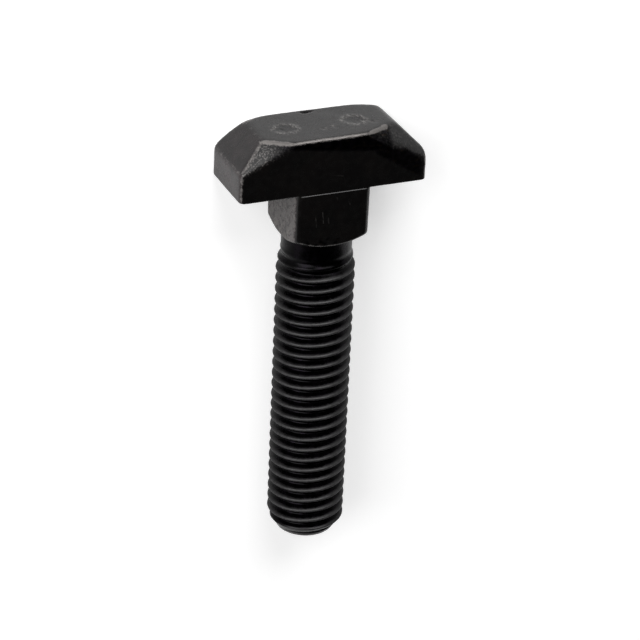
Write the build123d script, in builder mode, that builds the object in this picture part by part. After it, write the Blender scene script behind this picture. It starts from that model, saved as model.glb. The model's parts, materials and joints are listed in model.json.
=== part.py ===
"""T-slot bolt: a forged rectangular head, a square neck and a threaded shank, all one piece.

The bolt lies on a long side of its head, as it comes to rest on a flat surface.
+X runs along the bolt from head to tip, Y runs along the head, and +Z is up.
The origin is on that surface, below the middle of the bolt's length.
All sizes are in millimetres, and all angles in degrees.
"""

import os
from math import radians, tan

from build123d import *

# The slot that the bolt works in. The neck is as wide as its mouth lets through.
slot_width = 10.0
slot_clearance = 0.2

# Head: a rectangular bar with a bevelled crown, a little narrower than the neck.
head_relief = 0.1
head_length = 24.2
head_height = 7.0
head_corner_radius = 0.7

# Crown: a bevel at each end, a steep one along each side, and a facet over each corner.
end_bevel_height = 3.3
end_bevel_angle = 45
side_bevel_height = 1.3
side_bevel_inset = 0.3
corner_facet_height = 3.5
corner_facet_run = 7.1
corner_facet_width = 2.1
crown_edge_radius = 0.3

# Neck: a square with rounded corners, its lower corners turned off to a cone.
neck_length = 7.15
neck_corner_radius = 0.9
neck_root_radius = 0.35
neck_cone_angle = 30

# Shank and thread. The thread is its plain envelope, at its major diameter.
length_under_head = 49.5
shank_length = 3.2
shank_diameter = 8.8
run_out_length = 0.9
major_diameter = 9.85
tip_diameter = 7.15
tip_chamfer_angle = 36
tip_edge_radius = 0.45

# Widths and heights that follow from those above. The bar is what the head is cut from.
neck_side = slot_width - slot_clearance
head_width = neck_side - 2 * head_relief
overall_length = head_height + length_under_head
bar_width = neck_side + 4 * neck_root_radius
axis_height = max(major_diameter, neck_side) / 2

# Stations along the bolt, from the crown to the tip.
crown_x = -overall_length / 2
seat_x = crown_x + head_height
neck_end_x = seat_x + neck_length
run_out_x = neck_end_x + shank_length
thread_x = run_out_x + run_out_length
tip_x = seat_x + length_under_head
tip_chamfer_x = tip_x - (major_diameter - tip_diameter) / 2 / tan(radians(tip_chamfer_angle))

bolt_axis = Axis((0, 0, axis_height), (1, 0, 0))


def cross_section(x):
    """The plane across the bolt at x, with its own x axis along the head."""
    return Plane(origin=(x, 0, axis_height), x_dir=(0, 1, 0), z_dir=(1, 0, 0))


def half_profile_plane():
    """The plane through the axis, for profiles of what is turned: x along, y out from the axis."""
    return Plane(origin=(0, 0, axis_height), x_dir=(1, 0, 0), z_dir=(0, -1, 0))


def head_point(depth, along, across):
    """A point of the head: its depth below the crown, then its place along and across the head."""
    return Vector(crown_x + depth, along, axis_height + across)


def bevel_plane(first, second, third):
    """The plane through three points of the head, facing outwards."""
    normal = (second - first).cross(third - first)
    if normal.dot(first - Vector(seat_x, 0, axis_height)) < 0:
        normal = -normal
    return Plane(origin=first, z_dir=normal)


def end_bevel(end):
    """The bevel that slopes from the crown down to one end face."""
    run = end_bevel_height * tan(radians(end_bevel_angle))
    crown_end = end * (head_length / 2 - run)
    return bevel_plane(
        head_point(0, crown_end, -1),
        head_point(0, crown_end, 1),
        head_point(end_bevel_height, end * head_length / 2, 0),
    )


def side_bevel(side):
    """The steep bevel along one long edge of the crown."""
    crown_side = side * (head_width / 2 - side_bevel_inset)
    return bevel_plane(
        head_point(0, -1, crown_side),
        head_point(0, 1, crown_side),
        head_point(side_bevel_height, 0, side * head_width / 2),
    )


def corner_facet(end, side):
    """The facet that falls from the crown to the top of one upright corner."""
    run = end_bevel_height * tan(radians(end_bevel_angle))
    return bevel_plane(
        head_point(0, end * (head_length / 2 - run), side * (head_width / 2 - corner_facet_width)),
        head_point(0, end * (head_length / 2 - corner_facet_run), side * head_width / 2),
        head_point(corner_facet_height, end * head_length / 2, side * head_width / 2),
    )


with BuildPart() as bolt:
    # Neck, on a bar that is wide enough to carry the root fillet on all four sides.
    with BuildSketch(cross_section(crown_x)):
        Rectangle(head_length, bar_width)
    extrude(amount=head_height)
    with BuildSketch(cross_section(seat_x)):
        RectangleRounded(neck_side, neck_side, neck_corner_radius)
    extrude(amount=neck_length)
    neck_root = (
        bolt.edges()
        .filter_by_position(Axis.X, seat_x, seat_x)
        .filter_by_position(Axis.Y, -neck_side / 2, neck_side / 2)
        .filter_by_position(Axis.Z, axis_height - neck_side / 2, axis_height + neck_side / 2)
    )
    fillet(neck_root, radius=neck_root_radius)

    # The bar is trimmed to the head's width and the root fillet to the neck's, and the
    # head's upright corners are rounded.
    for start, length, width in ((crown_x, head_height, head_width), (seat_x, neck_root_radius, neck_side)):
        with BuildSketch(cross_section(start)):
            Rectangle(head_length, bar_width)
            Rectangle(head_length, width, mode=Mode.SUBTRACT)
        extrude(amount=length, mode=Mode.SUBTRACT)
    upright_edges = bolt.edges().filter_by(Axis.X).filter_by_position(Axis.X, crown_x, seat_x)
    fillet(upright_edges, radius=head_corner_radius)

    # Crown.
    for end in (-1, 1):
        split(bisect_by=end_bevel(end), keep=Keep.BOTTOM)
        for side in (-1, 1):
            split(bisect_by=corner_facet(end, side), keep=Keep.BOTTOM)
    for side in (-1, 1):
        split(bisect_by=side_bevel(side), keep=Keep.BOTTOM)
    lowest_bevel = max(end_bevel_height, corner_facet_height, side_bevel_height)
    crown_edges = bolt.edges().filter_by_position(Axis.X, crown_x, crown_x + lowest_bevel)
    fillet(crown_edges, radius=crown_edge_radius)

    # Cone at the lower end of the neck.
    with BuildSketch(half_profile_plane()):
        with BuildLine():
            Polyline(
                (neck_end_x, neck_side / 2),
                (neck_end_x, neck_side),
                (neck_end_x - neck_side / 2 * tan(radians(neck_cone_angle)), neck_side),
                close=True,
            )
        make_face()
    revolve(axis=bolt_axis, mode=Mode.SUBTRACT)

    # Shank, thread envelope and chamfered tip, turned as one.
    with BuildSketch(half_profile_plane()):
        with BuildLine():
            Polyline(
                (seat_x, 0),
                (seat_x, shank_diameter / 2),
                (run_out_x, shank_diameter / 2),
                (thread_x, major_diameter / 2),
                (tip_chamfer_x, major_diameter / 2),
                (tip_x, tip_diameter / 2),
                (tip_x, 0),
                close=True,
            )
        make_face()
    revolve(axis=bolt_axis)
    tip_edges = bolt.edges().filter_by(GeomType.CIRCLE).sort_by(Axis.X)[-2:]
    fillet(tip_edges, radius=tip_edge_radius)

bolt.part.label = "bolt"

os.makedirs("parts", exist_ok=True)
export_step(bolt.part, "parts/bolt.step")
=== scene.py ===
"""Looks of the T-slot bolt: its forged and threaded skin in black steel, on a pale floor.

The skin is one closed mesh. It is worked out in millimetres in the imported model's frame, where +X
runs from the head to the tip, Y along the head and +Z up, but with z measured from the bolt's axis.
"""

import json
from math import cos, pi, radians, sin, tan

import bmesh
import bpy
import numpy as np
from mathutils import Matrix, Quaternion, Vector, noise


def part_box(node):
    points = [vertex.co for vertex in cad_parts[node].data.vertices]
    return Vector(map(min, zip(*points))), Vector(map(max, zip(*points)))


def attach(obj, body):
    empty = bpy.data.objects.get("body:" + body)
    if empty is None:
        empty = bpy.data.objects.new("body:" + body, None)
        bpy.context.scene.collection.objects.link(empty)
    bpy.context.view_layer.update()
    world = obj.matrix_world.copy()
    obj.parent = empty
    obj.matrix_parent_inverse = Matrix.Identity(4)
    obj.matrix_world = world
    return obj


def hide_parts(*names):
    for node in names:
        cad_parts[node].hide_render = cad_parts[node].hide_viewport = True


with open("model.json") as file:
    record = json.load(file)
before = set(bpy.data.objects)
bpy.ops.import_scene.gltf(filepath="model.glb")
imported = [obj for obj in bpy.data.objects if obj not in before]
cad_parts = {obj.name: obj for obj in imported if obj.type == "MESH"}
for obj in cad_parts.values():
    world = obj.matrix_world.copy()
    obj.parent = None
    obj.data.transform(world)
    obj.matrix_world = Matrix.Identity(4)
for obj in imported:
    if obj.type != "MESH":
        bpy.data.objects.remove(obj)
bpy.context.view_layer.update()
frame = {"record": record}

MM = 0.001

# ---------------------------------------------------------------------------------------------------
# Sizes that the frame gives, in millimetres
# ---------------------------------------------------------------------------------------------------

mounts = {mount["name"]: mount for mount in frame["record"]["mounts"]}


def mount_place(name):
    """A mount's position in millimetres."""
    return [value / MM for value in mounts[name]["pos_m"]]


box_low, box_high = [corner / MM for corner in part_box("bolt")]
thread_length = mounts["thread"]["dims"]["length_mm"]

CROWN_X = box_low.x
TIP_X = box_high.x
HEAD_END = box_high.y
AXIS_Z = mount_place("thread")[2]
MAJOR_RADIUS = mounts["thread"]["dims"]["r_mm"]
SEAT_X = mount_place("head_seat_left")[0]
NECK_SIDE = AXIS_Z - mount_place("lying_side")[2]
NECK_END_X = 2 * mount_place("slot_neck")[0] - SEAT_X
THREAD_X = mount_place("thread")[0] - thread_length / 2

# ---------------------------------------------------------------------------------------------------
# Sizes of the skin, in millimetres
# ---------------------------------------------------------------------------------------------------

# Head: it is a little narrower than the neck, and has bevels along the crown.
HEAD_SIDE = NECK_SIDE - 0.1
END_BEVEL_HEIGHT = 3.3
END_BEVEL_RUN = 3.35

# The forging's corners differ. A facet's width is how much of the head's end it takes off at the
# crown, its run how much of the long side, and its height how far it reaches down the corner.
# Each stands by its end and side: -1, -1 is the corner at the ends of -Y and -Z.
FACETS = {
    (-1, 1): (2.1, 7.1, 3.4),
    (1, 1): (2.7, 8.6, 4.2),
    (-1, -1): (1.3, 6.0, 2.6),
    (1, -1): (1.3, 6.0, 2.6),
}

# Three points of each side bevel's plane: down from the crown, along the head and across it.
SIDE_BEVELS = [
    ((0, -2.2, 4.55), (0, 5.4, 4.3), (1.3, 0, HEAD_SIDE)),
    ((0, -5, -4.62), (0, 5, -4.68), (1.3, 0, -HEAD_SIDE)),
]

# The line inside the head from which its skin is cast: how deep it lies, and how far it stops from
# the ends.
HEAD_CORE_DEPTH = 3.8
HEAD_CORE_MARGIN = 4.5

# Softness of the head's edges. A square edge is rounded to a radius of about 2.4 times this.
CROWN_SOFTNESS = 0.13
FACET_SOFTNESS = 0.3
UPRIGHT_SOFTNESS = 0.26
SEAT_SOFTNESS = 0.08

# Neck.
NECK_CORNER = 0.9
NECK_ROOT = 0.35
NECK_CONE_ANGLE = 30
NECK_EDGE_SOFTNESS = 0.08

# Shank and thread.
SHANK_RADIUS = 4.4
SHANK_ROOT = 0.3
PITCH = 1.5
FLANK_ANGLE = 30
THREAD_DEPTH = 0.88
CREST_HALF_WIDTH = PITCH / 16
FIRST_CREST = 12.98
RUN_OUT = (1.5, 5.0)

# Tip: a taper, a rounded rim and a shallow dish.
TAPER_ANGLE = 36
RIM_RADIUS = 3.8
RIM_LENGTH = 0.35
END_RADIUS = 3.26
DISH_RADIUS = 2.6
DISH_DEPTH = 0.15

# Grid of the skin.
COLUMNS_OVER_NECK = 42
COLUMNS_ACROSS = 46
COLUMNS_OVER_LAND = 36
ROWS_DOWN_HEAD = 34
ROWS_DOWN_NECK = 30
ROWS_OVER_NECK_END = 10
ROUND_STEPS = 5


# ---------------------------------------------------------------------------------------------------
# Small tools
# ---------------------------------------------------------------------------------------------------


def graded(count, finest):
    """Places from 0 to 1 in the given number of steps, the end steps that share of an even one."""
    even = np.linspace(0, 1, count + 1)
    return even - (1 - finest) * np.sin(2 * pi * even) / (2 * pi)


def smooth_step(low, high, value):
    """0 below low, 1 above high, and a smooth rise between."""
    part = np.clip((value - low) / (high - low), 0, 1)
    return part * part * (3 - 2 * part)


def smooth_max(values, softness):
    """The largest of several arrays, blended where they are close."""
    return softness * np.logaddexp.reduce(np.stack(values) / softness, axis=0)


class Skin:
    """Grids of points, welded into one closed mesh where they share an edge."""

    def __init__(self):
        self.points = []
        self.faces = []
        self.count = 0

    def add(self, grid):
        """Adds a grid of points, rows by columns by 3, with a face in each cell."""
        rows, columns = grid.shape[:2]
        number = self.count + np.arange(rows * columns).reshape(rows, columns)
        cells = np.stack([number[:-1, :-1], number[:-1, 1:], number[1:, 1:], number[1:, :-1]], axis=-1)
        self.points.append(grid.reshape(-1, 3))
        self.faces.append(cells.reshape(-1, 4))
        self.count += rows * columns

    def welded(self):
        """The points without their doubles, and the faces as lists of their numbers."""
        points = np.concatenate(self.points)
        _, first, number = np.unique(np.round(points, 6), axis=0, return_index=True, return_inverse=True)
        number = number.reshape(-1)
        faces = []
        for face in number[np.concatenate(self.faces)]:
            corners = list(dict.fromkeys(face.tolist()))
            if len(corners) > 2:
                faces.append(corners)
        return points[first], faces


# ---------------------------------------------------------------------------------------------------
# Head
# ---------------------------------------------------------------------------------------------------


def outside_plane(place, first, second, third):
    """How far places stand outside the plane through three points of the head."""
    first, second, third = (np.array(point, float) for point in (first, second, third))
    normal = np.cross(second - first, third - first)
    normal /= np.linalg.norm(normal)
    normal *= np.sign(normal @ (first - [SEAT_X - CROWN_X, 0, 0]))
    return (place - first) @ normal


def head_planes(point):
    """How far points stand outside the planes of the head, by the names of its parts."""
    place = point - [CROWN_X, 0, 0]
    ends = []
    facets = []
    for end in (-1, 1):
        crown_end = end * (HEAD_END - END_BEVEL_RUN)
        edge = end * HEAD_END
        bevel_foot = (END_BEVEL_HEIGHT, edge, 0)
        ends.append(outside_plane(place, (0, crown_end, -1), (0, crown_end, 1), bevel_foot))
        for side in (-1, 1):
            width, run, height = FACETS[end, side]
            facets.append(
                outside_plane(
                    place,
                    (0, crown_end, side * (HEAD_SIDE - width)),
                    (0, end * (HEAD_END - run), side * HEAD_SIDE),
                    (height, edge, side * HEAD_SIDE),
                )
            )
    sides = [outside_plane(place, *corners) for corners in SIDE_BEVELS]
    return {
        "crown": -place[..., 0],
        "ends": np.max(ends, axis=0),
        "facets": np.max(facets, axis=0),
        "sides": np.max(sides, axis=0),
        "upright_ends": np.abs(place[..., 1]) - HEAD_END,
        "upright_sides": np.abs(place[..., 2]) - HEAD_SIDE,
        "seat": point[..., 0] - SEAT_X,
    }


def head_field(point):
    """Below 0 inside the head and above 0 outside it, with its edges softened."""
    planes = head_planes(point)
    shoulder = smooth_max([planes["facets"], planes["sides"]], FACET_SOFTNESS)
    upright = smooth_max([planes["upright_ends"], planes["upright_sides"]], UPRIGHT_SOFTNESS)
    body = smooth_max([planes["crown"], planes["ends"], shoulder, upright], CROWN_SOFTNESS)
    rounded = smooth_max([body, planes["seat"]], SEAT_SOFTNESS)
    beside_neck = smooth_step(neck_meets_side, neck_meets_side + 0.3, np.abs(point[..., 1]))
    return body + beside_neck * (rounded - body)


def on_surface(field, inside, target):
    """The points where the lines from inside to target leave the field."""
    near = np.zeros(target.shape[:-1])
    far = np.full(target.shape[:-1], 1.1)
    for _ in range(40):
        middle = (near + far) / 2
        outside = field(inside + middle[..., None] * (target - inside)) > 0
        far = np.where(outside, middle, far)
        near = np.where(outside, near, middle)
    return inside + near[..., None] * (target - inside)


def head_skin(block):
    """Points of the head's bounding block, moved in to its surface."""
    core = np.zeros_like(block)
    core[..., 0] = CROWN_X + HEAD_CORE_DEPTH
    core[..., 1] = np.clip(block[..., 1], HEAD_CORE_MARGIN - HEAD_END, HEAD_END - HEAD_CORE_MARGIN)
    return on_surface(head_field, core, block)


def grid_of(x, y, z):
    """A grid of points from three arrays that broadcast to it."""
    return np.stack(np.broadcast_arrays(x, y, z), axis=-1).astype(float)


# ---------------------------------------------------------------------------------------------------
# Neck
# ---------------------------------------------------------------------------------------------------

neck_flat = NECK_SIDE - NECK_CORNER

# Where the neck's rounded corner passes the head's side, measured along the head.
neck_meets_side = neck_flat + np.sqrt(NECK_CORNER**2 - (HEAD_SIDE - neck_flat) ** 2)


def neck_outline(place):
    """How far the neck's outline lies from the axis at a place along one of its sides."""
    past_flat = np.clip(np.abs(place) - neck_flat, 0, NECK_CORNER)
    return neck_flat + np.sqrt(NECK_CORNER**2 - past_flat**2)


def neck_field(point):
    """Below 0 inside the neck and above 0 outside it, with its lower edges softened."""
    along = np.abs(point[..., 1])
    across = np.abs(point[..., 2])
    past_flat = np.hypot(np.maximum(along - neck_flat, 0), np.maximum(across - neck_flat, 0))
    square = past_flat + np.minimum(np.maximum(along, across) - neck_flat, 0) - NECK_CORNER
    radius = np.hypot(point[..., 1], point[..., 2])
    slope = radians(NECK_CONE_ANGLE)
    cone = (radius - NECK_SIDE) * sin(slope) + (point[..., 0] - NECK_END_X) * cos(slope)
    end = point[..., 0] - NECK_END_X
    return smooth_max([square, cone, end], NECK_EDGE_SOFTNESS)


# ---------------------------------------------------------------------------------------------------
# Shank, thread and tip
# ---------------------------------------------------------------------------------------------------

RIM_X = TIP_X - RIM_LENGTH


def thread_radius(x, turn):
    """The radius of the rolled thread at a place along the bolt and an angle about its axis."""
    crest_x = SEAT_X + FIRST_CREST + PITCH * turn / (2 * pi)
    off_crest = np.abs((x - crest_x + PITCH / 2) % PITCH - PITCH / 2)
    flank = (off_crest - CREST_HALF_WIDTH) / tan(radians(FLANK_ANGLE))
    below_crest = smooth_max([flank, np.zeros_like(flank)], 0.025)
    below_crest = -smooth_max([-below_crest, np.full_like(flank, -THREAD_DEPTH)], 0.05)
    full = MAJOR_RADIUS - below_crest
    formed = smooth_step(NECK_END_X + RUN_OUT[0], NECK_END_X + RUN_OUT[1], x)
    return SHANK_RADIUS + formed * (full - SHANK_RADIUS)


rim_angles = np.radians(np.linspace(0, 90, 13))
rim_x = RIM_X + RIM_LENGTH * np.sin(rim_angles)
rim_radius = END_RADIUS + (RIM_RADIUS - END_RADIUS) * np.cos(rim_angles)
dish_steps = np.linspace(1, 0, 13)[1:]
dish_radius = np.concatenate([[END_RADIUS], DISH_RADIUS * dish_steps / dish_steps[0]])
dish_x = TIP_X - DISH_DEPTH * np.concatenate([[0], 1 - (dish_steps / dish_steps[0]) ** 2])
end_x = np.concatenate([rim_x, dish_x[1:]])
end_radius = np.concatenate([rim_radius, dish_radius[1:]])
end_run = RIM_X + np.concatenate([[0], np.cumsum(np.hypot(np.diff(end_x), np.diff(end_radius)))])


def turned_skin(run, turn):
    """Points of the shank, thread and tip.

    run is the place along the bolt as far as the rim, and then the way over the rim to the middle.
    """
    run, turn = np.broadcast_arrays(run, turn)
    x = np.minimum(run, RIM_X)
    taper = RIM_RADIUS + (RIM_X - x) * tan(radians(TAPER_ANGLE))
    radius = -smooth_max([-thread_radius(x, turn), -taper], 0.02)
    past_rim = run > RIM_X
    x = np.where(past_rim, np.interp(run, end_run, end_x), x)
    radius = np.where(past_rim, np.interp(run, end_run, end_radius), radius)
    return grid_of(x, radius * np.cos(turn), radius * np.sin(turn))


# ---------------------------------------------------------------------------------------------------
# The skin's grids
# ---------------------------------------------------------------------------------------------------


def build_skin():
    """The whole bolt as one welded set of points and faces."""
    skin = Skin()
    across = HEAD_SIDE * (2 * graded(COLUMNS_ACROSS, 0.3) - 1)
    over_neck = neck_meets_side * (2 * graded(COLUMNS_OVER_NECK, 0.4) - 1)
    land = graded(COLUMNS_OVER_LAND, 0.35)
    over_land = neck_meets_side + (HEAD_END - neck_meets_side) * land
    along = np.concatenate([-over_land[::-1], over_neck[1:-1], over_land])
    down = CROWN_X + (SEAT_X - CROWN_X) * graded(ROWS_DOWN_HEAD, 0.4)

    # Crown, long sides and ends of the head.
    skin.add(head_skin(grid_of(CROWN_X, along[:, None], across[None, :])))
    sides = {}
    for side in (-1, 1):
        sides[side] = head_skin(grid_of(down[:, None], along[None, :], side * HEAD_SIDE))
        skin.add(sides[side])
        skin.add(head_skin(grid_of(down[:, None], side * HEAD_END, across[None, :])))

    # Lands under the head, from the foot of the neck's root fillet out to the ends.
    root = NECK_ROOT * smooth_step(0, 1.0, HEAD_SIDE - np.abs(across))
    outline = neck_outline(across)
    # The fillet spreads out of the outline at right angles to it.
    out_along = np.where(np.abs(across) > neck_flat, (outline - neck_flat) / NECK_CORNER, 1)
    past_flat = np.where(np.abs(across) > neck_flat, (np.abs(across) - neck_flat) / NECK_CORNER, 0)
    out_across = past_flat * np.sign(across)
    lands = {}
    for side in (-1, 1):
        foot = grid_of(SEAT_X, side * (outline + root * out_along), across + root * out_across)
        far = grid_of(SEAT_X, side * HEAD_END, across)
        block = foot[None] + land[:, None, None] * (far - foot)[None]
        lands[side] = head_skin(block)
        lands[side][0, :, 0] = np.where(root > 0, SEAT_X, lands[side][0, :, 0])
        skin.add(lands[side])

    # The ring of columns round the neck starts below the axis and turns from +Y towards +Z.
    middle = COLUMNS_OVER_NECK // 2
    first = COLUMNS_OVER_LAND
    last = first + COLUMNS_OVER_NECK
    lower = sides[-1][-1, first : last + 1]
    upper = sides[1][-1, first : last + 1]
    ring_top = np.concatenate(
        [lower[middle:-1], lands[1][0, :-1], upper[:0:-1], lands[-1][0, :0:-1], lower[: middle + 1]]
    )
    under = np.stack([over_neck, -neck_outline(over_neck)], axis=-1)
    beside = np.stack([outline, across], axis=-1)
    ring = np.concatenate(
        [under[middle:-1], beside[:-1], -under[:-1], -beside[:-1], under[: middle + 1]]
    )
    no_root = np.zeros(len(under) - 1)
    ring_root = np.concatenate(
        [no_root[middle:], root[:-1], no_root, root[:-1], np.zeros(middle + 1)]
    )
    columns = len(ring) - 1

    # Root of the neck: a fillet on the lands, and a small ledge along the head's long sides.
    steps = np.radians(np.linspace(0, 90, ROUND_STEPS + 1))[:, None]
    spread = np.where(ring_root > 0, 1 - np.sin(steps), 1 - smooth_step(0, 0.5, steps / (pi / 2)))
    root_grid = grid_of(SEAT_X + NECK_ROOT * (1 - np.cos(steps)), 0, 0) + np.zeros((1, columns + 1, 1))
    root_grid[..., 1] = ring[:, 0] + spread * (ring_top[:, 1] - ring[:, 0])
    root_grid[..., 2] = ring[:, 1] + spread * (ring_top[:, 2] - ring[:, 1])
    root_grid[0] = ring_top
    skin.add(root_grid)

    # Faces of the neck, its cone and its end.
    neck_top = SEAT_X + NECK_ROOT
    neck_down = neck_top + (NECK_END_X - neck_top) * graded(ROWS_DOWN_NECK, 0.35)
    faces = grid_of(neck_down[:, None], ring[None, :, 0], ring[None, :, 1])
    even_turn = np.linspace(-pi / 2, 3 * pi / 2, columns + 1)
    own_turn = np.unwrap(np.arctan2(ring[:, 1], ring[:, 0]))
    own_radius = np.hypot(ring[:, 0], ring[:, 1])
    inward = graded(ROWS_OVER_NECK_END, 0.5)[1:, None]
    radius = own_radius + inward * (SHANK_RADIUS + SHANK_ROOT - own_radius)
    turn = own_turn + inward * (even_turn - own_turn)
    end = grid_of(NECK_END_X, radius * np.cos(turn), radius * np.sin(turn))
    block = np.concatenate([faces, end])
    core = np.zeros_like(block)
    core[..., 0] = np.minimum(block[..., 0], NECK_END_X - 2.5)
    neck = on_surface(neck_field, core, block)
    neck[0] = faces[0]
    neck[-1] = end[-1]
    skin.add(neck)

    # Root of the shank.
    steps = np.radians(np.linspace(0, 90, ROUND_STEPS))[:, None]
    radius = SHANK_RADIUS + SHANK_ROOT * (1 - np.sin(steps))
    skin.add(
        grid_of(
            NECK_END_X + SHANK_ROOT * (1 - np.cos(steps)),
            radius * np.cos(even_turn),
            radius * np.sin(even_turn),
        )
    )

    # Shank, thread and tip. The rows follow the thread, so that its crests and roots are edges
    # of the mesh.
    within = np.array([0, 0.07, 0.14, 0.26, 0.37, 0.428, 0.5, 0.572, 0.63, 0.74, 0.86, 0.93])
    per_turn = len(within)
    shank_x = NECK_END_X + SHANK_ROOT
    root_x = SEAT_X + FIRST_CREST + PITCH * even_turn[0] / (2 * pi) - PITCH / 2
    root_x += PITCH * np.ceil((shank_x + 0.2 - root_x) / PITCH)
    share = np.linspace(0, 1, columns + 1)

    def row_start(row):
        return root_x + PITCH * (row // per_turn + within[row % per_turn])

    rows = int((end_run[-1] - 0.8 - PITCH - root_x) / PITCH * per_turn)
    runs = [np.full(columns + 1, shank_x)]
    runs += [root_x + (row_start(row) - root_x) * share for row in range(per_turn)]
    runs += [row_start(row) + PITCH * share for row in range(rows + 1)]
    runs += [
        row_start(rows) + PITCH * share + (row_start(rows + row) - row_start(rows)) * (1 - share)
        for row in range(1, per_turn + 1)
    ]
    turned = turned_skin(np.stack(runs), even_turn)
    turned[:, -1] = turned_skin(np.stack(runs)[:, -1], even_turn[0])
    skin.add(turned)
    points, faces = skin.welded()

    # The middle of the tip's dish.
    rim = turned[-1, :-1]
    numbers = [int(np.argmin(((points - place) ** 2).sum(axis=1))) for place in rim]
    faces.append(numbers)
    return points, faces


# ---------------------------------------------------------------------------------------------------
# Surface: unevenness of the forging, dents and wear
# ---------------------------------------------------------------------------------------------------

# Worn dents on the crown: place along and across the head, half length, half width and depth.
DENTS = [
    (-4.8, 0.25, 1.55, 1.35, 0.05),
    (4.1, 0.1, 1.5, 1.4, 0.05),
    (-0.3, 1.45, 0.3, 0.3, 0.07),
    (1.1, 1.35, 0.35, 0.3, 0.06),
    (6.3, 1.2, 0.5, 0.35, 0.05),
]

# Sharp nicks in the crown, black inside, by the same numbers.
NICKS = [
    (-0.5, -3.8, 0.95, 0.3, 0.16),
    (-5.3, 0.2, 0.3, 0.25, 0.08),
    (5.2, 0.5, 0.28, 0.22, 0.08),
]


# Pits along the neck's lower edge: their middle and half length along the head.
PITS_MIDDLE = -1.6
PITS_HALF_LENGTH = 2.4

# Where the worn and highlighted edges and the painted shade of the head start and end along it: a pair
# is a fade.
EDGE_WEAR_AND_HIGHLIGHT_END = (7.2, 7.8)
BEVEL_SHADE_END = (7.2, 7.9)
NEAR_FACET_SHADE = (-9.8, -5.6)
FAR_FACET_SHADE_END = (7.3, 7.8)

# The painted dark reflection that fans out on the upper long side: where it starts and ends along the
# head, how deep its top lies and from where it slopes, and how deep its foot lies at its start, with the
# slopes of both.
FAN_START = (4.8, 5.4)
FAN_END = 11.3
FAN_TOP = 2.2
FAN_TOP_BEND = 9.3
FAN_TOP_SLOPE = 0.95
FAN_FOOT = 2.7
FAN_FOOT_FROM = 5.2
FAN_FOOT_SLOPE = 0.63
FAN_STRENGTH = 0.75


def noise_at(points, scale, seed):
    """Smooth noise from about -1 to 1 at points, for a given size of its grains."""
    shift = Vector((seed * 7.3, seed * 3.1, seed * 5.7))
    return np.array([noise.noise(Vector(point) / scale + shift) for point in points])


def along_edge(first, second, width):
    """1 where points are close to two planes at once, and 0 from a distance of width."""
    return smooth_step(-width, -0.15 * width, np.minimum(first, second))


def head_masks(points):
    """The masks of the head: its edges, worn and with painted highlights, coarse corner facets, zones of
    painted shade and rubbed faces.
    """
    planes = head_planes(points)
    crown, ends, facets, sides = (planes[name] for name in ("crown", "ends", "facets", "sides"))
    upright_ends, upright_sides = planes["upright_ends"], planes["upright_sides"]
    seat = planes["seat"]
    shoulder = np.maximum(facets, sides)
    along = points[:, 1]
    crown_front_wear_and_highlight = 1.4 * along_edge(crown, shoulder, 0.5) * (1 - smooth_step(*EDGE_WEAR_AND_HIGHLIGHT_END, along))
    # The head's edges are lightened: worn oxide along the crown's edges, and a painted highlight along
    # these and the other edges.
    edge = np.max(
        [
            crown_front_wear_and_highlight,
            0.85 * along_edge(crown, ends, 0.25),
            0.8 * along_edge(ends, facets, 0.4) * (along < 0),
            0.8 * along_edge(ends, upright_ends, 0.3),
            0.55 * along_edge(facets, upright_ends, 0.3),
            np.where(along < 0, 0.85, 1.1) * along_edge(upright_ends, upright_sides, 0.6),
            0.3 * along_edge(seat, upright_ends, 0.2),
        ],
        axis=0,
    )
    highest = np.max([crown, ends, facets, sides, upright_ends, upright_sides, seat], axis=0)
    on_facet = smooth_step(-0.3, -0.02, facets - highest)
    bevel_shade = smooth_step(-0.1, -0.01, sides - highest) * (1 - on_facet)
    bevel_shade *= 1 - smooth_step(*BEVEL_SHADE_END, along)

    # Painted shade: the inner part of each facet is painted black, and the painted black runs on along
    # the side bevel.
    near_facet_shade = smooth_step(*NEAR_FACET_SHADE, along)
    facet_shade = np.where(along < 0, near_facet_shade, 1 - smooth_step(*FAR_FACET_SHADE_END, along))
    coarse = on_facet * np.where(along < 0, 1, np.maximum(facet_shade, 0.25))

    # A painted dark reflection fans out from the side bevel to one end of the upper long side.
    depth = points[:, 0] - CROWN_X
    top = FAN_TOP + FAN_TOP_SLOPE * np.maximum(along - FAN_TOP_BEND, 0)
    foot = FAN_FOOT + FAN_FOOT_SLOPE * (along - FAN_FOOT_FROM)
    fan_shade = smooth_step(0, 0.25, foot - depth) * smooth_step(0, 0.35, depth - top)
    fan_shade *= smooth_step(HEAD_SIDE - 0.6, HEAD_SIDE - 0.2, points[:, 2])
    fan_shade *= smooth_step(*FAN_START, along) * smooth_step(0, 0.25, FAN_END - along)
    # Painted shade of the head: the side bevel, the facets' inner parts and the fan.
    black_and_painted_shade = np.max([bevel_shade, on_facet * facet_shade, FAN_STRENGTH * fan_shade], axis=0)

    # Handling has rubbed the ends most, then the end bevel on -Y, and the crown least.
    rubbed_and_painted_sheen = np.max(
        [
            0.12 * smooth_step(-0.2, 0, crown - highest),
            smooth_step(-0.2, 0, upright_ends - highest),
            0.35 * smooth_step(-0.2, 0, ends - highest) * (along < 0),
        ],
        axis=0,
    )
    return {"edge": edge, "coarse": coarse, "black_and_painted_shade": black_and_painted_shade, "rubbed_and_painted_sheen": rubbed_and_painted_sheen}


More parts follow.
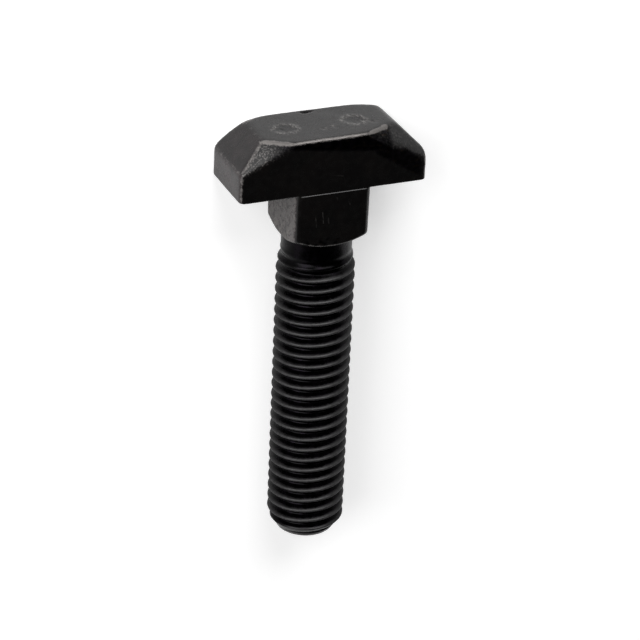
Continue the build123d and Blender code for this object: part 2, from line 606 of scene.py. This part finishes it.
def in_hollows(points, hollows):
    """How far points are inside hollows of the crown and on their rims, from 0 to 1, and how deep."""
    on_crown = smooth_step(-0.35, -0.1, CROWN_X - points[:, 0])
    inside = np.zeros(len(points))
    rim = np.zeros(len(points))
    sunk = np.zeros(len(points))
    ragged = 0.3 * noise_at(points, 0.45, 6)
    for along, across, half_length, half_width, depth in hollows:
        from_along = (points[:, 1] - along) / half_length
        from_across = (points[:, 2] - across) / half_width
        away = np.hypot(from_along, from_across) + ragged
        within = on_crown * np.exp(-((away / 0.85) ** 6))
        inside = np.maximum(inside, within)
        rim = np.maximum(rim, on_crown * np.exp(-(((away - 0.95) / 0.2) ** 2)))
        sunk = np.maximum(sunk, depth * within)
    return inside, rim, sunk


def part_masks(points):
    """The masks of the whole bolt by name, each with a number from 0 to 1 for every point."""
    x = points[:, 0]
    radius = np.hypot(points[:, 1], points[:, 2])
    on_head = x < SEAT_X + 0.01
    on_neck = (x > SEAT_X + 0.01) & (x < NECK_END_X + 0.02)
    masks = head_masks(points)
    slope = radians(NECK_CONE_ANGLE)
    cone = (radius - NECK_SIDE) * sin(slope) + (x - NECK_END_X) * cos(slope)
    sides = np.maximum(np.abs(points[:, 1]), np.abs(points[:, 2])) - NECK_SIDE
    # Painted highlights along the neck's lower edges, at the top and the foot of its cone.
    cone_foot = along_edge(cone, x - NECK_END_X, 0.3)
    cone_top = along_edge(cone, sides, 0.25)
    neck_painted_light = np.maximum(1.2 * cone_foot, 0.8 * cone_top)
    # A painted highlight on the tip's rim.
    rim = smooth_step(RIM_X - 0.1, RIM_X + 0.06, x) * smooth_step(END_RADIUS - 0.25, END_RADIUS, radius)
    formed = smooth_step(THREAD_X - 1.2, THREAD_X + 0.4, x)
    crest = formed * smooth_step(MAJOR_RADIUS - 0.36, MAJOR_RADIUS - 0.03, radius)
    dished = smooth_step(RIM_X + 0.14, RIM_X + 0.24, x)
    bare = (1 - crest) * (1 - rim * (1 - dished))
    nick, _, _ = in_hollows(points, NICKS)
    dent, dent_rim, _ = in_hollows(points, DENTS)
    dark = np.maximum(nick, 0.3 * dent)
    # A painted sheen on the neck's long sides, which lightens them as a rubbed film and as an edge.
    neck_side_sheen = on_neck * smooth_step(-0.25, -0.02, np.abs(points[:, 1]) - NECK_SIDE)
    neck_painted_light = np.maximum(neck_painted_light, 0.7 * neck_side_sheen)

    # Small pits just above the neck's lower edge.
    above_end = NECK_END_X - x
    low_band = (1 - smooth_step(1.0, 1.5, above_end)) * smooth_step(0.2, 0.5, above_end)
    pitted = on_neck * low_band * (np.abs(points[:, 1] - PITS_MIDDLE) < PITS_HALF_LENGTH)
    pits = pitted * smooth_step(0.1, 0.35, noise_at(points, 0.4, 8))
    return {
        "edge": np.where(on_head, masks["edge"], np.where(on_neck, neck_painted_light, rim * (1 - dished))),
        "crest": crest,
        "coarse": np.where(on_head, masks["coarse"], 0),
        "black_and_painted_shade": np.where(on_head, np.maximum(masks["black_and_painted_shade"], dark), np.where(on_neck, pits, bare)),
        "rubbed_and_painted_sheen": np.where(on_head, masks["rubbed_and_painted_sheen"], neck_side_sheen),
        "marks": dent_rim,
        "threaded": (x > NECK_END_X + 0.02).astype(float),
    }


def forging_height(points, masks):
    """How far the surface stands above or below its plain shape: broad and fine waves, coarse facets,
    uneven edges, dents and nicks."""
    on_head = points[:, 0] < NECK_END_X
    height = 0.02 * noise_at(points, 2.6, 1) * on_head
    height += 0.006 * noise_at(points, 0.7, 2) * on_head
    height += masks["coarse"] * (0.035 * noise_at(points, 0.55, 3) + 0.02 * noise_at(points, 0.28, 4))
    height += 0.03 * masks["edge"] * on_head * (noise_at(points, 0.9, 5) - 0.4)
    for hollows in (DENTS, NICKS):
        _, rim, sunk = in_hollows(points, hollows)
        height += 0.02 * rim - sunk
    return height


points, faces = build_skin()
skin_mesh = bpy.data.meshes.new("bolt_skin")
skin_mesh.from_pydata((points + [0, 0, AXIS_Z]) * MM, [], faces)
work = bmesh.new()
work.from_mesh(skin_mesh)
bmesh.ops.recalc_face_normals(work, faces=work.faces)
work.to_mesh(skin_mesh)
work.free()
normals = np.array([vertex.normal for vertex in skin_mesh.vertices])
masks = part_masks(points)
shifted = points + normals * forging_height(points, masks)[:, None]
skin_mesh.vertices.foreach_set("co", ((shifted + [0, 0, AXIS_Z]) * MM).ravel())
for name, values in masks.items():
    attribute = skin_mesh.attributes.new(name, "FLOAT", "POINT")
    attribute.data.foreach_set("value", values.astype(np.float32))
skin_mesh.shade_smooth()
skin_object = bpy.data.objects.new("bolt_skin", skin_mesh)
bpy.context.scene.collection.objects.link(skin_object)
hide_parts("bolt")
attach(skin_object, "root")


# ---------------------------------------------------------------------------------------------------
# Black steel
# ---------------------------------------------------------------------------------------------------


class Nodes:
    """Short ways to build a material's nodes."""

    def __init__(self, material):
        material.use_nodes = True
        self.tree = material.node_tree

    def new(self, kind, **settings):
        """A node of a kind, with some of its settings."""
        node = self.tree.nodes.new(kind)
        for name, value in settings.items():
            setattr(node, name, value)
        return node

    def put(self, value, socket):
        """Sets a socket, or links another node's output to it."""
        if isinstance(value, bpy.types.NodeSocket):
            self.tree.links.new(value, socket)
        else:
            socket.default_value = value

    def math(self, operation, *values):
        """The result of a Math node."""
        node = self.new("ShaderNodeMath", operation=operation)
        for value, socket in zip(values, node.inputs):
            self.put(value, socket)
        return node.outputs[0]

    def vector(self, operation, *values):
        """The result of a Vector Math node: a number for a length or dot product, otherwise a vector."""
        node = self.new("ShaderNodeVectorMath", operation=operation)
        for value, socket in zip(values, node.inputs):
            self.put(value, socket)
        return node.outputs["Value" if operation in ("DOT_PRODUCT", "LENGTH", "DISTANCE") else "Vector"]

    def between(self, value, low, high, result_low=0.0, result_high=1.0):
        """A smooth rise from one result to another, as a value goes from low to high."""
        node = self.new("ShaderNodeMapRange", interpolation_type="SMOOTHSTEP")
        for number, socket in zip((value, low, high, result_low, result_high), node.inputs):
            self.put(number, socket)
        return node.outputs[0]

    def noise(self, place, grain, detail=2.0, stretch=(1, 1, 1)):
        """Noise from 0 to 1 with grains of a size in millimetres."""
        scaled = self.vector("MULTIPLY", place, tuple(value / grain for value in stretch))
        node = self.new("ShaderNodeTexNoise")
        self.put(scaled, node.inputs["Vector"])
        node.inputs["Scale"].default_value = 1
        node.inputs["Detail"].default_value = detail
        return node.outputs[0]

    def mix(self, amount, first, second):
        """A blend of two colours."""
        node = self.new("ShaderNodeMix", data_type="RGBA")
        self.put(amount, node.inputs["Factor"])
        for value, name in ((first, "A_Color"), (second, "B_Color")):
            socket = next(socket for socket in node.inputs if socket.identifier == name)
            self.put(value if isinstance(value, bpy.types.NodeSocket) else (*value, 1), socket)
        return next(socket for socket in node.outputs if socket.identifier == "Result_Color")

    def attribute(self, name):
        """A vertex attribute of the mesh."""
        return self.new("ShaderNodeAttribute", attribute_name=name).outputs["Fac"]


# Base colours: the oxide and its brownish clouds, black with a violet tint that on the head's bevels and
# facets is painted shade, rust in it, faces with the oxide rubbed thin and a painted sheen on the neck's
# sides, and bare metal along edges, there with painted highlights, and on the thread's crests.
OXIDE = (0.0022, 0.0020, 0.0020)
OXIDE_BROWN = (0.0031, 0.0026, 0.0025)
BLACK_AND_PAINTED_SHADE = (0.0010, 0.0009, 0.0011)
VIOLET_BLACK_AND_PAINTED_SHADE = (0.0035, 0.0024, 0.0042)
RUST = (0.0085, 0.0060, 0.0040)
RUBBED_AND_SHEEN = (0.020, 0.014, 0.015)
WORN_AND_HIGHLIGHT = (0.115, 0.107, 0.103)
CREST = (0.021, 0.020, 0.021)

# Single scratches: both ends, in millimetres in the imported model's frame, then a width and a strength.
SCRATCHES = [
    ((-27.6, -10.4, 5.4), (-26.2, -11.0, 6.3), 0.05, 0.5),
    ((-18.6, -2.4, 9.8), (-17.0, -2.2, 9.8), 0.05, 0.1),
    ((-18.9, -1.5, 9.8), (-17.4, -1.3, 9.8), 0.05, 0.12),
    ((-18.0, -0.7, 9.8), (-17.2, -0.6, 9.8), 0.05, 0.08),
    ((-19.9, 1.9, 9.8), (-19.4, 2.1, 9.8), 0.06, 0.07),
    ((-20.6, 0.3, 9.8), (-20.3, 0.4, 9.8), 0.06, 0.07),
    ((-23.6, -0.6, 9.7), (-23.3, 1.0, 9.7), 0.05, 0.07),
]


def black_steel():
    """Black oxide on forged steel, thin and light along the edges and the thread's crests, with painted
    highlights on the edges, painted shade on the head and a painted sheen on the neck's sides.
    """
    material = bpy.data.materials.new("black_steel")
    nodes = Nodes(material)
    place = nodes.new("ShaderNodeTexCoord").outputs["Object"]
    place = nodes.vector("SCALE", place)
    place.node.inputs["Scale"].default_value = 1 / MM
    edge, crest, coarse, black_and_painted_shade = (nodes.attribute(name) for name in ("edge", "crest", "coarse", "black_and_painted_shade"))
    rubbed_and_painted_sheen, marks, threaded = (nodes.attribute(name) for name in ("rubbed_and_painted_sheen", "marks", "threaded"))

    # Grains of several sizes.
    cloud = nodes.noise(place, 3.0, 3)
    blotch = nodes.noise(place, 0.8, 3)
    grain = nodes.noise(place, 0.22, 2)
    fine = nodes.noise(place, 0.09, 2)

    # Wear along edges and crests, with painted highlights on the edges, broken up by the grains.
    broad = nodes.between(blotch, 0.3, 0.7, -0.2, 0.1)
    narrow = nodes.between(grain, 0.3, 0.7, -0.22, 0.12)
    broken = nodes.math("ADD", broad, narrow)
    edge_wear_and_highlight = nodes.between(nodes.math("ADD", edge, broken), 0.2, 1.0)
    uneven = nodes.between(nodes.math("MULTIPLY", blotch, grain), 0.15, 0.38, 0.3, 1.0)
    crest_wear = nodes.math("MULTIPLY", crest, uneven)
    speck = nodes.math("MULTIPLY", coarse, nodes.between(grain, 0.5, 0.66))
    speck = nodes.math("MULTIPLY", speck, nodes.between(black_and_painted_shade, 0, 0.8, 0.6, 0.1))
    scratches = 0.0
    for start, end, width, strength in SCRATCHES:
        along = tuple(b - a for a, b in zip(start, end))
        length = sum(value * value for value in along)
        from_start = nodes.vector("SUBTRACT", place, start)
        share = nodes.math("DIVIDE", nodes.vector("DOT_PRODUCT", from_start, along), length)
        share.node.use_clamp = True
        step = nodes.new("ShaderNodeVectorMath", operation="SCALE")
        step.inputs[0].default_value = along
        nodes.put(share, step.inputs["Scale"])
        away = nodes.vector("DISTANCE", from_start, step.outputs["Vector"])
        away = nodes.math("ADD", away, nodes.between(blotch, 0.35, 0.65, -0.03, 0.05))
        line = nodes.between(away, width * 1.6, width * 0.4, 0, strength)
        scratches = nodes.math("MAXIMUM", scratches, line)

    colour = nodes.mix(nodes.between(cloud, 0.4, 0.7), OXIDE, OXIDE_BROWN)
    patchy = nodes.between(nodes.noise(place, 1.6, 4), 0.35, 0.65, 0.3, 1.0)
    # Oxide rubbed thin on the head, and a painted sheen on the neck's long sides.
    film = nodes.math("MULTIPLY", rubbed_and_painted_sheen, patchy)
    colour = nodes.mix(film, colour, RUBBED_AND_SHEEN)
    # Black with violet in places: painted shade on the head's bevels and facets, and the own black of
    # the thread, nicks and pits.
    black_and_shade_colour = nodes.mix(nodes.between(blotch, 0.4, 0.7), BLACK_AND_PAINTED_SHADE, VIOLET_BLACK_AND_PAINTED_SHADE)
    colour = nodes.mix(black_and_painted_shade, colour, black_and_shade_colour)
    streak = nodes.noise(place, 0.35, 2, (1, 0.35, 1))
    rust = nodes.math("MULTIPLY", black_and_painted_shade, nodes.between(streak, 0.56, 0.68))
    rust = nodes.math("MULTIPLY", rust, nodes.math("SUBTRACT", 1.0, threaded))
    colour = nodes.mix(rust, colour, RUST)
    colour = nodes.mix(speck, colour, WORN_AND_HIGHLIGHT)
    colour = nodes.mix(crest_wear, colour, CREST)
    # Worn metal and painted highlights along the edges.
    colour = nodes.mix(edge_wear_and_highlight, colour, WORN_AND_HIGHLIGHT)
    colour = nodes.mix(scratches, colour, WORN_AND_HIGHLIGHT)
    worn_marks = nodes.math("MULTIPLY", marks, nodes.between(grain, 0.42, 0.6, 0, 0.8))
    colour = nodes.mix(worn_marks, colour, WORN_AND_HIGHLIGHT)

    roughness = nodes.between(blotch, 0.3, 0.7, 0.2, 0.3)
    roughness = nodes.math("ADD", roughness, nodes.math("MULTIPLY", coarse, 0.2))
    roughness = nodes.math("ADD", roughness, nodes.math("MULTIPLY", edge_wear_and_highlight, 0.12))
    roughness = nodes.math("ADD", roughness, nodes.math("MULTIPLY", crest, 0.2))

    height = nodes.math("MULTIPLY", fine, 0.003)
    grain_height = nodes.math("MULTIPLY_ADD", coarse, 0.07, 0.002)
    height = nodes.math("ADD", height, nodes.math("MULTIPLY", grain, grain_height))
    height = nodes.math("ADD", height, nodes.math("MULTIPLY", scratches, -0.006))
    bump = nodes.new("ShaderNodeBump")
    bump.inputs["Distance"].default_value = MM
    bump.inputs["Strength"].default_value = 1
    nodes.put(height, bump.inputs["Height"])

    shader = nodes.tree.nodes["Principled BSDF"]
    nodes.put(colour, shader.inputs["Base Color"])
    nodes.put(roughness, shader.inputs["Roughness"])
    # The black zones, the head's painted shade among them, are metallic, so that they mirror only
    # darkly.
    nodes.put(nodes.math("MULTIPLY", black_and_painted_shade, 0.9), shader.inputs["Metallic"])
    nodes.put(bump.outputs["Normal"], shader.inputs["Normal"])
    shader.inputs["IOR"].default_value = 1.41
    return material


skin_mesh.materials.append(black_steel())


# ---------------------------------------------------------------------------------------------------
# Floor, light and camera
# ---------------------------------------------------------------------------------------------------

# The floor's half length in millimetres, its colour, and the glow it adds where the camera sees it
# and where the steel mirrors it.
FLOOR_HALF = 1500
FLOOR_PALE = 0.75
FLOOR_SEEN = 0.5
FLOOR_MIRRORED = 0.05

# The surroundings: the heights of direction where white ends and dark begins, and the dark's level.
WHITE_TO = 0.12
DARK_FROM = 0.5
DARK = 0.02

# Both lights: distance and size in metres, and power in watts.
LIGHT_DISTANCE = 0.5
LIGHT_SIZE = 0.4
LIGHT_POWER = 2.6

# The camera: lens in millimetres, the point it looks at from the bolt's axis in millimetres, its
# azimuth and elevation, its distance in metres, and its roll in degrees.
CAMERA_LENS = 140.33
CAMERA_TARGET = (-1.35, 0.96, AXIS_Z)
CAMERA_AZIMUTH = -52.95
CAMERA_ELEVATION = 53.98
CAMERA_DISTANCE = 0.3123
CAMERA_ROLL = 139.6


def paper():
    """Matt pale paper, which looks white and shows soft shadows."""
    material = bpy.data.materials.new("paper")
    nodes = Nodes(material)
    nodes.tree.nodes.clear()
    diffuse = nodes.new("ShaderNodeBsdfDiffuse")
    diffuse.inputs["Color"].default_value = (FLOOR_PALE, FLOOR_PALE, FLOOR_PALE, 1)
    path = nodes.new("ShaderNodeLightPath")
    seen = nodes.math("MULTIPLY", path.outputs["Is Camera Ray"], FLOOR_SEEN)
    mirrored = nodes.math("MULTIPLY", path.outputs["Is Glossy Ray"], FLOOR_MIRRORED)
    glow = nodes.new("ShaderNodeEmission")
    nodes.put(nodes.math("ADD", seen, mirrored), glow.inputs["Strength"])
    both = nodes.new("ShaderNodeAddShader")
    nodes.put(diffuse.outputs[0], both.inputs[0])
    nodes.put(glow.outputs[0], both.inputs[1])
    output = nodes.new("ShaderNodeOutputMaterial")
    nodes.put(both.outputs[0], output.inputs["Surface"])
    return material


def add_floor():
    """The floor that the bolt lies on."""
    half = FLOOR_HALF * MM
    mesh = bpy.data.meshes.new("floor")
    corners = [(-half, -half, 0), (half, -half, 0), (half, half, 0), (-half, half, 0)]
    mesh.from_pydata(corners, [], [(0, 1, 2, 3)])
    mesh.materials.append(paper())
    floor = bpy.data.objects.new("floor", mesh)
    bpy.context.scene.collection.objects.link(floor)


def add_world():
    """A studio that is white near the floor and dark overhead."""
    world = bpy.data.worlds.new("studio")
    bpy.context.scene.world = world
    nodes = Nodes(world)
    direction = nodes.new("ShaderNodeSeparateXYZ")
    nodes.put(nodes.new("ShaderNodeTexCoord").outputs["Generated"], direction.inputs[0])
    darkness = nodes.between(direction.outputs["Z"], WHITE_TO, DARK_FROM)
    colour = nodes.mix(darkness, (1, 1, 1), (DARK, DARK, DARK))
    nodes.put(colour, nodes.tree.nodes["Background"].inputs["Color"])


def direction_to(azimuth, elevation):
    """The direction from the bolt to a place, with azimuth turning from -Y towards +X."""
    azimuth, elevation = radians(azimuth), radians(elevation)
    return Vector((sin(azimuth) * cos(elevation), -cos(azimuth) * cos(elevation), sin(elevation)))


def add_light(name, azimuth, elevation):
    """A square soft light that faces the bolt."""
    light = bpy.data.lights.new(name, "AREA")
    light.size = LIGHT_SIZE
    light.energy = LIGHT_POWER
    lamp = bpy.data.objects.new(name, light)
    way = direction_to(azimuth, elevation)
    lamp.location = way * LIGHT_DISTANCE
    lamp.rotation_euler = way.to_track_quat("Z", "Y").to_euler()
    bpy.context.scene.collection.objects.link(lamp)


def add_camera():
    """The camera at the photograph's angle. It is rolled, so that the bolt's head comes to the top."""
    data = bpy.data.cameras.new("camera")
    data.lens = CAMERA_LENS
    data.sensor_width = 36
    data.clip_start = 0.01
    camera = bpy.data.objects.new("camera", data)
    target = Vector(CAMERA_TARGET) * MM
    back = direction_to(CAMERA_AZIMUTH, CAMERA_ELEVATION)
    camera.location = target + back * CAMERA_DISTANCE
    camera.rotation_mode = "QUATERNION"
    roll = Quaternion((0, 0, 1), radians(CAMERA_ROLL))
    camera.rotation_quaternion = (-back).to_track_quat("-Z", "Y") @ roll
    bpy.context.scene.collection.objects.link(camera)
    bpy.context.scene.camera = camera


add_floor()
add_world()
add_light("key", -95, 26)
add_light("fill", -28, 28)
add_camera()
bpy.context.scene.view_settings.view_transform = "Standard"
